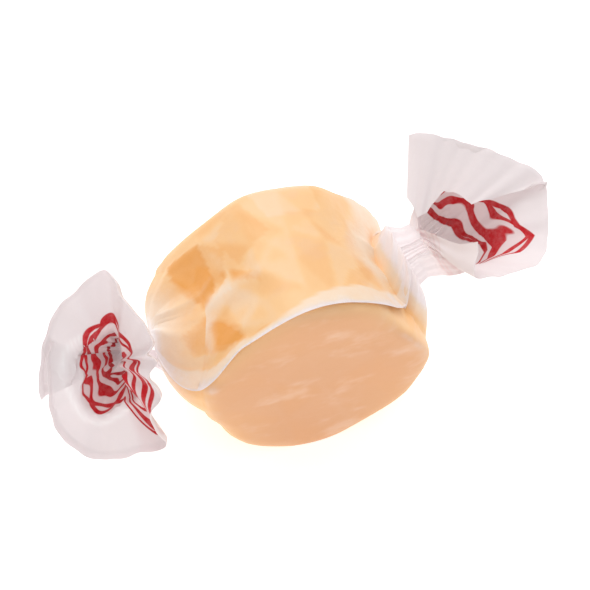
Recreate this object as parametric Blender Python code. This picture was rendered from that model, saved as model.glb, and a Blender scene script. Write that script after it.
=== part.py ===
"""A piece of salt water taffy: a puck of soft taffy, rolled in one sheet of waxed paper whose two
ends are gathered, twisted and left to flare out as fans.

Metres, +Z up. The puck stands on its rim with its cut faces to -Y and +Y, and the twists run out
towards -X and +X. The origin is under the middle of the whole piece, on the table.
"""

import math

import bmesh
import bpy
import numpy as np
from mathutils import Vector

# The puck. Its rim has flats where it was pressed: the way each one faces, in degrees from +X
# towards +Z, and how far it lies from the puck's middle.
PUCK_THICKNESS = 0.0183
RIM_FLATS = (
    (32, 0.0100), (77, 0.0105), (120, 0.0117), (152, 0.0126),
    (204, 0.0119), (250, 0.0114), (292, 0.0108), (335, 0.0119),
)
REST_DEPTH = 0.0102  # from the middle down to the flat that the puck has slumped onto
EDGE_SHARPNESS = 14.0  # power that rounds the edges between the flats and the faces

# The sheet of waxed paper, wrapped round the puck with its outer edge along the front face's top.
PAPER_WALL = 0.0003
PAPER_GAP = 0.0006  # between the taffy and the paper
LAYER_STEP = 0.00065  # how much further out the overlapping layer lies
OVERLAP = 0.0080
SEAM_ANGLE = math.radians(127)  # from +Y towards +Z, where the outer edge crosses the middle
SEAM_DROP = math.radians(30)  # how much lower the outer edge lies on the front face at each end
SEAM_SLACK = math.radians(100)  # the part of the sheet that is skewed with it
LAP_ANGLE = math.radians(110)  # over which the outer layer climbs onto the inner one
SHOULDER_ANGLE = math.radians(37)  # where the paper leaves the puck, from the X axis
PLEAT_COUNT = 12
PLEAT_DEPTH = 0.0007
NECK_RADIUS = 0.0019
NECK_SHARE = 0.5  # share of each twist's turn that is in its neck

# Each twist: where its neck starts and ends, from the puck's middle; how far it was turned about
# +X; how far round the rim's flap is bent; and the folds of the fan, in the order of the sheet, as
# degrees round the vertical from +X towards +Y, degrees above the horizontal, millimetres from the
# knot to the outermost point, and millimetres of flap that are bent back there.
LEFT_TWIST = {
    "side": -1,
    "start": (-0.0150, 0.0006, -0.0030),
    "end": (-0.0185, 0.0012, 0.0001),
    "turn": math.radians(-170),
    "bend": 0.0,
    "folds": (
        (-156, 10, 13.0, 0), (-163, 24, 13.0, 0), (-171, 38, 13.0, 0), (179, 51, 13.0, 0),
        (168, 65, 13.0, 0), (139, 80, 13.2, 0), (-110, 78, 13.0, 0), (-90, 63, 13.0, 0),
        (-88, 44, 13.0, 0), (-88, 25, 13.0, 0), (-90, -5, 13.2, 0), (-103, -9, 13.0, 0),
        (-128, -23, 13.0, 0), (-140, -17, 13.0, 0), (-148, -4, 13.0, 0), (-155, 12, 12.6, 0),
        (-161, 24, 12.4, 0), (-169, 38, 12.2, 0),
    ),
}
RIGHT_TWIST = {
    "side": 1,
    "start": (0.0136, 0.0003, 0.0030),
    "end": (0.0153, 0.0008, 0.0040),
    "turn": math.radians(-27),
    "bend": math.radians(157),
    "folds": (
        (-74, 49, 14.0, 0), (-84, 35, 13.9, 0), (-72, 32, 14.3, 0), (-58, 27, 14.5, 0),
        (-46, 23, 15.1, 0), (-32, 26, 15.0, 0), (-21, 32, 15.5, 0), (-13, 35, 15.8, 0),
        (-6, 36, 15.8, 3.6), (4, 41, 14.6, 5.3), (16, 46, 13.8, 6.2), (37, 49, 13.0, 6.0),
        (52, 49, 12.8, 8.6), (66, 48, 12.7, 9.2), (82, 43, 12.8, 7.4),
    ),
}
RIM_STRIP = 0.0025  # the outermost part of the fan, where there is no flap
KNOT_REACH = 0.0062  # how far out the neck's pleats open

# How finely the sheet is cut into faces.
BODY_ROWS, SHOULDER_ROWS, NECK_ROWS, INNER_FAN_ROWS, OUTER_FAN_ROWS = 14, 4, 2, 4, 2
COLUMNS = 52
PUCK_CUTS = 9

TAFFY_COLOUR = (0.93, 0.66, 0.38, 1.0)
PAPER_COLOUR = (0.90, 0.87, 0.86, 1.0)


def clear_scene():
    for obj in list(bpy.data.objects):
        bpy.data.objects.remove(obj)


def finish(name, colour, roughness):
    made = bpy.data.materials.new(name)
    made.use_nodes = True
    shader = made.node_tree.nodes["Principled BSDF"]
    shader.inputs["Base Color"].default_value = colour
    shader.inputs["Roughness"].default_value = roughness
    shader.inputs["Metallic"].default_value = 0.0
    return made


def add_object(name, mesh, material, place):
    mesh.materials.append(material)
    mesh.shade_smooth()
    made = bpy.data.objects.new(name, mesh)
    bpy.context.scene.collection.objects.link(made)
    made.location = place
    return made


def smooth_step(t):
    t = np.clip(t, 0.0, 1.0)
    return t * t * (3 - 2 * t)


def lengths(rows):
    return np.linalg.norm(rows, axis=-1, keepdims=True)


def puck_reach(ways, grown=0.0):
    """How far the puck's skin, or a skin grown outwards from it, is along each unit vector."""
    total = (np.abs(ways[..., 1]) / (PUCK_THICKNESS / 2)) ** EDGE_SHARPNESS
    for degrees, distance in RIM_FLATS:
        angle = math.radians(degrees)
        facing = ways[..., 0] * math.cos(angle) + ways[..., 2] * math.sin(angle)
        total = total + (np.maximum(facing, 0.0) / distance) ** EDGE_SHARPNESS
    reach = total ** (-1 / EDGE_SHARPNESS)
    down = np.maximum(-ways[..., 2], 1e-9)
    return np.minimum(reach + grown, (REST_DEPTH + grown) / down)


def ways_round(polar, around):
    """Unit vectors at an angle from +X and an angle round it, from +Y towards +Z."""
    sine = np.sin(polar)
    ways = (np.cos(polar), sine * np.cos(around), sine * np.sin(around))
    return np.stack(np.broadcast_arrays(*ways), axis=-1)


def build_puck(middle):
    """A cube of quads drawn in to the puck's skin."""
    block = bmesh.new()
    bmesh.ops.create_cube(block, size=2.0)
    bmesh.ops.subdivide_edges(block, edges=block.edges, cuts=PUCK_CUTS, use_grid_fill=True)
    ways = np.array([v.co.normalized() for v in block.verts])
    for vert, way, reach in zip(block.verts, ways, puck_reach(ways)):
        vert.co = Vector(way * reach)
    bmesh.ops.recalc_face_normals(block, faces=block.faces)
    mesh = bpy.data.meshes.new("taffy")
    block.to_mesh(mesh)
    block.free()
    return add_object("taffy", mesh, finish("taffy", TAFFY_COLOUR, 0.45), middle)


def angles_round(columns):
    """The angle round the X axis of each column, the columns equally wide on the paper."""
    fine = np.linspace(0.0, SEAM_ANGLE + math.tau, 720)
    ways = ways_round(math.pi / 2, fine)
    skin = ways * puck_reach(ways, PAPER_GAP)[:, None]
    along = np.concatenate(([0.0], np.cumsum(lengths(np.diff(skin, axis=0))[:, 0])))
    first = np.interp(SEAM_ANGLE, fine, along) - OVERLAP
    return np.interp(np.linspace(first, along[-1], columns), along, fine)


def paper_lift(around):
    """How far the paper's outer side lies outside the taffy."""
    lap = smooth_step((around - (around[-1] - LAP_ANGLE)) / (0.7 * LAP_ANGLE))
    return PAPER_GAP + PAPER_WALL + LAYER_STEP * lap


def body_rows(around):
    """The rows that lie on the puck, from the left shoulder to the right one."""
    lift = paper_lift(around)
    rows = []
    skew = SEAM_DROP * smooth_step(1 - (around[-1] - around) / SEAM_SLACK)
    for polar in np.linspace(math.pi - SHOULDER_ANGLE, SHOULDER_ANGLE, BODY_ROWS):
        ways = ways_round(polar, around + skew * math.cos(polar) ** 2)
        rows.append(ways * puck_reach(ways, lift)[:, None])
    return rows


def turned(points, centre, axis, angle):
    """Points turned round an axis through centre."""
    arm = points - centre
    along = (arm @ axis)[:, None] * axis
    cosine, sine = math.cos(angle), math.sin(angle)
    return centre + arm * cosine + np.cross(axis, arm) * sine + along * (1 - cosine)


def neck_ring(around, centre, axis, side):
    """The paper gathered round the neck, not yet turned, wound as it is on the puck."""
    first = np.array((0.0, 1.0, 0.0)) - axis * axis[1]
    first /= np.linalg.norm(first)
    second = side * np.cross(axis, first)
    radius = NECK_RADIUS + np.linspace(0.0, LAYER_STEP, len(around))
    spread = np.cos(around)[:, None] * first + np.sin(around)[:, None] * second
    return centre + spread * radius[:, None]


def pleats(around):
    """A wave from 0 to 1 round the twist, with pleats of uneven width."""
    uneven = around + 0.22 * np.sin(2 * around + 1.0) + 0.10 * np.sin(5 * around)
    return 0.5 + 0.5 * np.sin(PLEAT_COUNT * uneven)


def shoulder_rows(last, before, around, twist):
    """Rows from where the paper leaves the puck in to the neck, pleated and starting to turn."""
    neck = np.array(twist["start"])
    axis = neck / np.linalg.norm(neck)
    leaving = (last - before) / lengths(last - before)
    ring = neck_ring(around, neck, axis, twist["side"])
    span = lengths(ring - last)
    first, second = last + leaving * span * 0.22, ring - axis * span * 0.12
    rows = []
    for t in np.linspace(0.0, 1.0, SHOULDER_ROWS + 1)[1:]:
        row = last * (1 - t) ** 3 + first * 3 * t * (1 - t) ** 2
        row = row + second * 3 * t * t * (1 - t) + ring * t**3
        outward = row - neck
        outward -= (outward @ axis)[:, None] * axis
        depth = PLEAT_DEPTH * math.sin(math.pi * min(t, 0.8))
        row = row + outward / lengths(outward) * (depth * pleats(around))[:, None]
        turn = twist["turn"] * (1 - NECK_SHARE) * t**3
        rows.append(turned(row, neck, axis, twist["side"] * turn))
    return rows


def neck_rows(ring, twist):
    start, end = np.array(twist["start"]), np.array(twist["end"])
    axis = (end - start) / np.linalg.norm(end - start)
    rows = []
    for k in range(1, NECK_ROWS + 1):
        share = k / NECK_ROWS
        turn = twist["side"] * twist["turn"] * NECK_SHARE * share
        rows.append(turned(ring, start, axis, turn) + (end - start) * share)
    return rows


def fold_ways(folds, columns):
    """Unit vectors evenly along a smooth line through the folds, and the reach and flap there."""
    azimuth, height = np.radians(np.array(folds, float)[:, :2]).T
    level = np.cos(height)
    knots = np.stack((level * np.cos(azimuth), level * np.sin(azimuth), np.sin(height)), axis=-1)
    padded = np.vstack((2 * knots[0] - knots[1], knots, 2 * knots[-1] - knots[-2]))
    place = np.linspace(0.0, len(knots) - 1.0, 40 * (len(knots) - 1) + 1)
    base = np.minimum(place.astype(int), len(knots) - 2)
    t = (place - base)[:, None]
    p, q, r, s = (padded[base + k] for k in range(4))
    line = 2 * q + (r - p) * t + (2 * p - 5 * q + 4 * r - s) * t**2 + (3 * q - p - 3 * r + s) * t**3
    line /= lengths(line)
    along = np.concatenate(([0.0], np.cumsum(lengths(np.diff(line, axis=0))[:, 0])))
    even = np.linspace(0.0, along[-1], columns)
    ways = np.stack([np.interp(even, along, line[:, k]) for k in range(3)], axis=-1)
    reach, flap = (np.interp(even, along[::40], [fold[k] / 1000 for fold in folds]) for k in (2, 3))
    return ways / lengths(ways), reach, flap


def fan_rows(ring, twist):
    """Rows of the fan: straight lines out of the knot, with the flap bent back at its crease."""
    end = np.array(twist["end"])
    ways, reach, flap = fold_ways(twist["folds"], len(ring))
    past = np.maximum(flap, RIM_STRIP)
    place = (reach + flap - past)[:, None]
    rim = np.gradient(ways * place, axis=0)
    rim -= (rim * ways).sum(axis=1, keepdims=True) * ways
    rim /= lengths(rim)
    rim *= np.sign((np.cross(rim, ways) @ ways.mean(axis=0)).sum())
    bend = (twist["bend"] * smooth_step(flap / RIM_STRIP))[:, None]
    bent = ways * np.cos(bend) + np.cross(rim, ways) * np.sin(bend)
    rows = []
    for share in np.linspace(0.0, 1.0, INNER_FAN_ROWS + 1)[1:]:
        knot = 1 - smooth_step(share * place / KNOT_REACH)
        rows.append(end + (ring - end) * knot + ways * share * place)
    for share in np.linspace(0.0, 1.0, OUTER_FAN_ROWS + 1)[1:]:
        rows.append(end + ways * place + bent * share * past[:, None])
    return rows


def end_rows(body, around, twist):
    """Every row from one shoulder out to the rim of its fan."""
    last, before = (body[0], body[1]) if twist["side"] < 0 else (body[-1], body[-2])
    rows = shoulder_rows(last, before, around, twist)
    rows += neck_rows(rows[-1], twist)
    return rows + fan_rows(rows[-1], twist)


def build_wrapper(middle):
    """One sheet of paper, from the rim of the left fan to the rim of the right one."""
    around = angles_round(COLUMNS)
    body = body_rows(around)
    left = end_rows(body, around, LEFT_TWIST)
    right = end_rows(body, around, RIGHT_TWIST)
    grid = np.array(left[::-1] + body + right)
    corner = np.arange(grid.shape[0] * grid.shape[1]).reshape(grid.shape[:2])
    faces = np.stack((corner[:-1, :-1], corner[:-1, 1:], corner[1:, 1:], corner[1:, :-1]), axis=-1)
    mesh = bpy.data.meshes.new("wrapper")
    mesh.from_pydata(grid.reshape(-1, 3).tolist(), [], faces.reshape(-1, 4).tolist())
    made = add_object("wrapper", mesh, finish("paper", PAPER_COLOUR, 0.4), middle)
    wall = made.modifiers.new("wall", "SOLIDIFY")
    wall.thickness = PAPER_WALL
    wall.offset = -1.0  # the wall grows inwards, so that the flat below stays flat
    return made


def box_of(objects):
    """The lowest and highest corner of the objects as they are shown."""
    graph = bpy.context.evaluated_depsgraph_get()
    corners = []
    for obj in objects:
        shown = obj.evaluated_get(graph).to_mesh()
        corners += [obj.matrix_world @ v.co for v in shown.vertices]
    points = np.array(corners)
    return points.min(axis=0), points.max(axis=0)


def main():
    clear_scene()
    middle = Vector((0.0, 0.0, REST_DEPTH + PAPER_GAP + PAPER_WALL))
    pieces = [build_puck(middle), build_wrapper(middle)]
    bpy.context.view_layer.update()
    low, high = box_of(pieces)
    for piece in pieces:
        piece.location -= Vector(((low[0] + high[0]) / 2, (low[1] + high[1]) / 2, low[2]))


main()
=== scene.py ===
"""The looks of one wrapped piece of salt water taffy.

A soft puck of taffy is rolled in one sheet of waxed paper. Both ends of the sheet are gathered,
twisted and left to flare out as fans. Lengths are in metres; MM turns millimetres into them.
"""

import logging
import math
from dataclasses import dataclass
from enum import Enum

import bmesh
import bpy
import numpy as np
from mathutils import Matrix, Vector


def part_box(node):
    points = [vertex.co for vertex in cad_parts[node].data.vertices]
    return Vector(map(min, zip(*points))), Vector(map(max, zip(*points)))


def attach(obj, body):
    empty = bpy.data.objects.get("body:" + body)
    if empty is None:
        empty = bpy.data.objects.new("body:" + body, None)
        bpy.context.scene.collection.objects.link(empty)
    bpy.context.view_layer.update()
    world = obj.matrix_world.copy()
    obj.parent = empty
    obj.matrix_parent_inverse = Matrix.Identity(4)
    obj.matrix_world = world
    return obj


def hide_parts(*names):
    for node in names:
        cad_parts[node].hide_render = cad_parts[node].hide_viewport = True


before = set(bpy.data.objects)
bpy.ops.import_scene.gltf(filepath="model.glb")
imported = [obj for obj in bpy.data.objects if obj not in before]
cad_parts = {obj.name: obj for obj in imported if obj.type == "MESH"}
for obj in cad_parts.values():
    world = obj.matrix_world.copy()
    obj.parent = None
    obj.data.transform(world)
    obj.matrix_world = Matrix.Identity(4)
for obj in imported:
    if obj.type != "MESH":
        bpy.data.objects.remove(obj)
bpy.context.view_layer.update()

MM = 0.001
LOG = logging.getLogger("taffy")
Rows = np.ndarray  # points or directions, with x, y and z along the last axis
BARE = -20.0  # a place in the print that lies far off the row of ornaments
FOLD_SHARPNESS = 0.985  # of the ridges of folded paper; 1 is a corner


# ---------------------------------------------------------------- shape maths


def smooth_step(t: Rows) -> Rows:
    """An even climb from 0 to 1, flat at both ends.

    Args:
        t: Where on the climb, 0 at its foot and 1 at its top; beyond them it is level.

    Returns:
        The height at each t.
    """
    t = np.clip(t, 0.0, 1.0)
    return t * t * (3 - 2 * t)


def sized(*rows: tuple[float, ...]) -> tuple[tuple[float, ...], ...]:
    """The rows, with the last number of each turned from millimetres into metres."""
    return tuple((*row[:-1], row[-1] * MM) for row in rows)


def lengths(rows: Rows) -> Rows:
    """The length of each row, kept as a last axis of one."""
    return np.linalg.norm(rows, axis=-1, keepdims=True)


def unit(rows: Rows) -> Rows:
    """Each row scaled to a length of one."""
    return rows / np.maximum(lengths(rows), 1e-12)


def ways_round(polar: Rows, around: Rows) -> Rows:
    """Unit vectors at an angle from +X and an angle round it.

    Args:
        polar: Angle from +X, in radians.
        around: Angle round the X axis from +Y towards +Z, in radians.

    Returns:
        The unit vectors.
    """
    sine = np.sin(polar)
    ways = (np.cos(polar), sine * np.cos(around), sine * np.sin(around))
    return np.stack(np.broadcast_arrays(*ways), axis=-1)


def turned(points: Rows, centre: Rows, axis: Rows, angle: float) -> Rows:
    """Points turned round an axis.

    Args:
        points: The points.
        centre: A point on the axis.
        axis: Unit vector along it.
        angle: How far they turn, in radians.

    Returns:
        The turned points.
    """
    arm = points - centre
    along = (arm @ axis)[..., None] * axis
    cosine, sine = math.cos(angle), math.sin(angle)
    return centre + arm * cosine + np.cross(axis, arm) * sine + along * (1 - cosine)


def fold_wave(phase: Rows) -> Rows:
    """A wave of straight flanks and tight ridges, from -1 to 1, as creased paper has."""
    return np.arcsin(FOLD_SHARPNESS * np.sin(phase)) / math.asin(FOLD_SHARPNESS)


def softened(rows: Rows, times: int = 1) -> Rows:
    """Rows of values, each row mixed with its neighbours a number of times."""
    for _ in range(times):
        padded = np.concatenate((rows[:1], rows, rows[-1:]))
        rows = (padded[:-2] + 2 * padded[1:-1] + padded[2:]) / 4
    return rows


def softened_both_ways(grid: Rows) -> Rows:
    """A grid of values, each mixed with its neighbours along and across."""
    return softened(softened(grid).T).T


def added(name: str, data: bpy.types.ID) -> bpy.types.Object:
    """An object of that name, which holds the data and stands in the scene."""
    made = bpy.data.objects.new(name, data)
    bpy.context.scene.collection.objects.link(made)
    return made


class Drift:
    """A smooth, unevenly wandering value along a line, the same for the same seed."""

    RATIOS = (1.3, 1.9)  # of each wave's pace to the one before it
    FIRST_RATIO = 1.5  # about their mean, which brings the first wave to the pace asked for
    LEVEL = 1.6  # brings the sum's usual size to 1

    def __init__(self, seed: int, slowest: float, waves: int = 5) -> None:
        """Draws the waves.

        Args:
            seed: Number that fixes them.
            slowest: Waves to the unit of the slowest one.
            waves: How many are summed.
        """
        random = np.random.default_rng(seed)
        ratios = np.cumprod(random.uniform(*self.RATIOS, waves))
        self.pitch = slowest * math.tau * ratios / self.FIRST_RATIO
        self.phase = random.uniform(0.0, math.tau, waves)
        self.size = 1 / np.sqrt(np.arange(1, waves + 1))

    def __call__(self, place: Rows) -> Rows:
        """The value at each place, mostly between -1 and 1."""
        waves = np.sin(np.asarray(place)[..., None] * self.pitch + self.phase)
        return waves @ self.size / self.size.sum() * self.LEVEL


# ---------------------------------------------------------------- the taffy


@dataclass(frozen=True)
class Dent:
    """A place where the soft puck was pressed flat.

    Attributes:
        around: Its middle, in degrees round the X axis from +Y towards +Z.
        polar: Its middle, in degrees from +X.
        depth: How deep it goes.
    """

    around: float
    polar: float
    depth: float


@dataclass(frozen=True)
class Puck:
    """The puck of taffy: a short round log with flats on its rim, standing on one of them.

    Attributes:
        thickness: From cut face to cut face, along Y.
        flats: The way each flat of the rim faces, in degrees from +X towards +Z, and how far
            it lies from the puck's middle.
        rest_depth: From the middle down to the flat it has slumped onto.
        sharpness: Power that rounds the edges between flats and faces.
        swell: How far the skin wanders in and out.
        swells: Its waves, each with its pace along x, y and z and its phase.
        grain: Depth of the skin's fine grain.
        grain_paces: The paces of its two waves along x, y and z.
        growth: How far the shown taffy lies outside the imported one, up against the paper.
        standing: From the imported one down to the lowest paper.
        dents: The pressed places.
        cuts: Cuts along each edge of the cube of quads it is made from.
    """

    thickness: float = 18.3 * MM
    flats: tuple[tuple[float, float], ...] = sized(
        (32, 10.0), (77, 10.5), (120, 11.7), (152, 12.6), (204, 11.9), (250, 11.4), (292, 10.8),
        (335, 11.9),
    )
    rest_depth: float = 10.2 * MM
    sharpness: float = 14.0
    swell: float = 0.10 * MM
    swells: tuple[tuple[tuple[float, ...], float], ...] = (
        ((5.1, 3.3, 4.7), 0.6), ((-3.9, 6.2, 5.3), 2.1),
    )
    grain: float = 0.04 * MM
    grain_paces: tuple[tuple[float, ...], ...] = ((31.0, 17.0, 23.0), (11.0, 41.0, -19.0))
    growth: float = 0.50 * MM
    standing: float = 0.86 * MM
    dents: tuple[Dent, ...] = tuple(Dent(*row) for row in sized(
        (72, 144, 0.75), (112, 134, 0.40), (40, 128, 0.30), (128, 118, 0.28), (84, 56, 0.40),
        (120, 48, 0.35), (30, 60, 0.40), (340, 52, 0.50), (300, 132, 0.50), (15, 112, 0.30),
    ))
    cuts: int = 58

    def plain_reach(self, ways: Rows) -> Rows:
        """How far the skin would be along each unit vector, with no dents and no floor.

        Args:
            ways: Unit vectors from the puck's middle.

        Returns:
            The distance along each of them.
        """
        total = (np.abs(ways[..., 1]) / (self.thickness / 2)) ** self.sharpness
        for degrees, distance in self.flats:
            angle = math.radians(degrees)
            facing = ways[..., 0] * math.cos(angle) + ways[..., 2] * math.sin(angle)
            total = total + (np.maximum(facing, 0.0) / distance) ** self.sharpness
        return total ** (-1 / self.sharpness)

    def dent_plane(self, dent: Dent) -> tuple[Rows, float]:
        """The plane that presses a dent in.

        Args:
            dent: The dent.

        Returns:
            The plane's unit normal, and its distance from the puck's middle.
        """
        polar, around, step = math.radians(dent.polar), math.radians(dent.around), 0.02
        corners = [
            ways_round(np.float64(polar + i * step), np.float64(around + j * step))
            for i, j in ((1, 0), (-1, 0), (0, 1), (0, -1), (0, 0))
        ]
        up, down, left, right, middle = (way * self.plain_reach(way) for way in corners)
        normal = unit(np.cross(up - down, left - right))
        normal = normal * np.sign(normal @ middle)
        return normal, float(normal @ middle) - dent.depth

    def reach(self, ways: Rows, grown: float | Rows = 0.0) -> Rows:
        """How far the skin, or a skin grown outwards from it, is along each unit vector.

        Args:
            ways: Unit vectors from the puck's middle.
            grown: How far outside the taffy.

        Returns:
            The distance along each of them, cut off by the table.
        """
        total = self.plain_reach(ways) ** -self.sharpness
        for dent in self.dents:
            normal, distance = self.dent_plane(dent)
            pressed = (np.maximum(ways @ normal, 0.0) / distance) ** (2 * self.sharpness)
            total = total + pressed * (1 / distance) ** -self.sharpness
        reach = total ** (-1 / self.sharpness)
        wander = sum(np.sin(ways @ pace + phase) for pace, phase in self.swells)
        reach = reach + 0.5 * self.swell * (wander - 1)
        down = np.maximum(-ways[..., 2], 1e-9)
        return np.minimum(reach + grown, (self.rest_depth + np.minimum(grown, self.standing)) / down)

    def skin_box(self) -> tuple[Rows, Rows]:
        """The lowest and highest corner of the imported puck, from its middle."""
        around, polar = np.meshgrid(np.linspace(0, math.tau, 361), np.linspace(0, math.pi, 181))
        ways = ways_round(polar, around).reshape(-1, 3)
        down = np.maximum(-ways[:, 2], 1e-9)
        skin = ways * np.minimum(self.plain_reach(ways), self.rest_depth / down)[:, None]
        return skin.min(axis=0), skin.max(axis=0)

    def middle(self) -> Rows:
        """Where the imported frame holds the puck's middle."""
        low, high = (np.array(corner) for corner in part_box("taffy"))
        skin_low, skin_high = self.skin_box()
        place = (low + high - skin_low - skin_high) / 2
        place[2] = low[2] + self.rest_depth
        return place

    def build(self) -> bpy.types.Object:
        """Makes the shown puck, which fills the paper closely.

        Returns:
            The puck, a cube of quads drawn in to its skin.
        """
        block = bmesh.new()
        bmesh.ops.create_cube(block, size=2.0)
        bmesh.ops.subdivide_edges(block, edges=block.edges, cuts=self.cuts, use_grid_fill=True)
        ways = unit(np.array([tuple(vert.co) for vert in block.verts]))
        one, other = (np.sin(ways @ pace) for pace in self.grain_paces)
        grain = self.grain * one * other
        skin = self.middle() + ways * (self.reach(ways, self.growth) + grain)[:, None]
        for vert, place in zip(block.verts, skin):
            vert.co = Vector(place)
        bmesh.ops.recalc_face_normals(block, faces=block.faces)
        mesh = bpy.data.meshes.new("pulled_taffy")
        block.to_mesh(mesh)
        block.free()
        mesh.shade_smooth()
        return added("pulled_taffy", mesh)


# ---------------------------------------------------------------- the paper


class Side(Enum):
    """The end of the sheet that a twist is on."""

    LEFT = -1
    RIGHT = 1


@dataclass(frozen=True)
class Fold:
    """A fold of a fan, and the way its paper runs out from the knot.

    Attributes:
        azimuth: Degrees round the vertical, from +X towards +Y.
        height: Degrees above the horizontal.
        reach: From the knot to the rim, or to the crease where the paper is turned over.
        flap: How much further the paper goes past that crease.
    """

    azimuth: float
    height: float
    reach: float
    flap: float = 0.0


def folds_of(*rows: tuple[float, ...]) -> tuple[Fold, ...]:
    """A fan's folds, each row a Fold's numbers in their order, with its lengths in millimetres."""
    return tuple(Fold(*row[:2], *(length * MM for length in row[2:])) for row in rows)


@dataclass(frozen=True)
class Twist:
    """One twisted end: a neck of gathered paper and the fan beyond it.

    Attributes:
        side: The end of the sheet it is on.
        shoulder: Where the paper leaves the puck for it, in degrees from the X axis.
        fullness: How far the paper stands out between the puck and the neck, from 0 to 1.
        filled: Share of the way from the puck to the neck that taffy is still squeezed into.
        start: Where the neck starts, from the puck's middle.
        end: Where it ends and the fan opens.
        turn: How far the end was turned about +X, in degrees.
        folds: The fan's folds, in the order of the sheet.
        radius: Of the neck's pleats, half-way between their ridges and their valleys.
        squeeze: Share of that radius half-way along the neck, and at its end.
        opening: Share of the fan's reach over which the neck's ring opens out into it.
        depth: Of the neck's pleats, from that radius.
        flutes: Height of the pleats that run out of the neck into the fan.
        flute_end: Where they have died away, as a share of the fan's reach.
        bell: How far the fan is drawn in at the round crease across it.
        bell_places: Where that crease is, as a share of the fan's reach, at some places across
            the sheet from 0 to 1.
        bend: How far over the flap is turned, in degrees.
        rim_turn: How far the rim turns where there is no flap, in degrees.
        print_middle: How far from the knot the middle of the row of print is, at some places
            across the sheet from 0 to 1.
        print_reach: How far from the knot the print is neither stretched nor squeezed.
        print_size: Half the height of the row there.
        print_start: Where along its pattern the row starts.
        seed: Fixes the fan's uneven folds.
    """

    side: Side
    shoulder: float
    fullness: float
    filled: float
    start: tuple[float, float, float]
    end: tuple[float, float, float]
    turn: float
    folds: tuple[Fold, ...]
    radius: float
    squeeze: tuple[float, float]
    opening: float
    depth: float
    flutes: float
    flute_end: float
    bell: float
    bell_places: tuple[tuple[float, float], ...]
    bend: float
    rim_turn: float
    print_middle: tuple[tuple[float, float], ...]
    print_reach: float
    print_size: float
    print_start: float
    seed: int


LEFT_TWIST = Twist(
    side=Side.LEFT,
    shoulder=33,
    fullness=0.68,
    filled=0.88,
    start=(-15.0 * MM, 0.6 * MM, -3.0 * MM),
    end=(-18.5 * MM, 1.2 * MM, 0.1 * MM),
    turn=-170,
    folds=folds_of(
        (-156, 10, 13), (-163, 24, 13), (-171, 38, 13), (179, 51, 13), (168, 65, 13),
        (139, 80, 13.2), (-110, 78, 13), (-90, 63, 13), (-86, 53, 13), (-93, 48, 13),
        (-87, 43, 13), (-94, 36, 13), (-88, 25, 13), (-95, 15, 13), (-90, -5, 13.2),
        (-103, -9, 13), (-114, -16, 13), (-128, -23, 13), (-140, -17, 13), (-148, -4, 13),
        (-155, 12, 12.6), (-161, 24, 12.4), (-169, 38, 12.2),
    ),
    radius=1.15 * MM,
    squeeze=(0.80, 0.42),
    opening=0.36,
    depth=0.55 * MM,
    flutes=0.70 * MM,
    flute_end=0.46,
    bell=2.1 * MM,
    bell_places=(
        (0.0, 0.84), (0.10, 0.80), (0.20, 0.52), (0.28, 0.42), (0.45, 0.45), (0.60, 0.58),
        (0.70, 0.66), (0.80, 0.74), (1.0, 0.82),
    ),
    bend=0,
    rim_turn=24,
    print_middle=sized(
        (0.0, 6.2), (0.15, 5.8), (0.30, 4.4), (0.42, 5.0), (0.50, 7.6), (0.60, 9.4), (0.63, 8.6),
        (0.67, 4.6), (0.80, 6.0), (1.0, 6.2),
    ),
    print_reach=6.0 * MM,
    print_size=2.5 * MM,
    print_start=41.3,
    seed=11,
)
RIGHT_TWIST = Twist(
    side=Side.RIGHT,
    shoulder=29,
    fullness=0.25,
    filled=0.62,
    start=(12.8 * MM, 1.0 * MM, 4.0 * MM),
    end=(15.3 * MM, 0.8 * MM, 4.0 * MM),
    turn=-27,
    folds=folds_of(
        (-74, 49, 14.0), (-84, 35, 13.9), (-72, 32, 14.3), (-58, 27, 14.5), (-46, 23, 15.1),
        (-32, 26, 15.0), (-21, 32, 15.5), (-13, 35, 15.8), (-6, 36, 15.8, 6.0),
        (4, 41, 14.6, 7.0), (16, 46, 13.8, 6.2), (37, 49, 13.0, 6.0), (52, 49, 12.8, 8.6),
        (66, 48, 12.7, 9.2), (82, 43, 12.8, 7.4),
    ),
    radius=3.6 * MM,
    squeeze=(0.84, 0.90),
    opening=0.80,
    depth=0.30 * MM,
    flutes=0.28 * MM,
    flute_end=0.50,
    bell=0.0,
    bell_places=((0.0, 0.5), (1.0, 0.5)),
    bend=157,
    rim_turn=0,
    print_middle=sized(
        (0.0, 3.0), (0.31, 3.0), (0.36, 8.6), (0.42, 10.0), (0.49, 8.6), (0.58, 7.2), (0.70, 5.8),
        (0.80, 5.2), (1.0, 5.0),
    ),
    print_reach=7.9 * MM,
    print_size=2.7 * MM,
    print_start=52.0,
    seed=23,
)


@dataclass(frozen=True)
class Peak:
    """A corner where creases meet in the paper on the puck.

    Attributes:
        around: Degrees round the X axis from +Y towards +Z.
        polar: Degrees from +X.
        height: How far the paper stands off there.
    """

    around: float
    polar: float
    height: float

    def way(self) -> Rows:
        """The unit vector towards it from the puck's middle."""
        return ways_round(np.radians(self.polar), np.radians(self.around))


@dataclass(frozen=True)
class Tint:
    """A facet of the paper that shows more or less of the taffy than the paper round it.

    In part its shade is painted shade and painted light.

    Attributes:
        corners: Its corners, each in degrees round the X axis and degrees from +X.
        shade: From -1, deep in colour, to 1, milky: partly how closely it is soaked with wax onto
        the taffy, partly painted shade on facets turned from the light and painted light on
        facets turned to it.
    """

    corners: tuple[tuple[float, float], ...]
    shade: float


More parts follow.
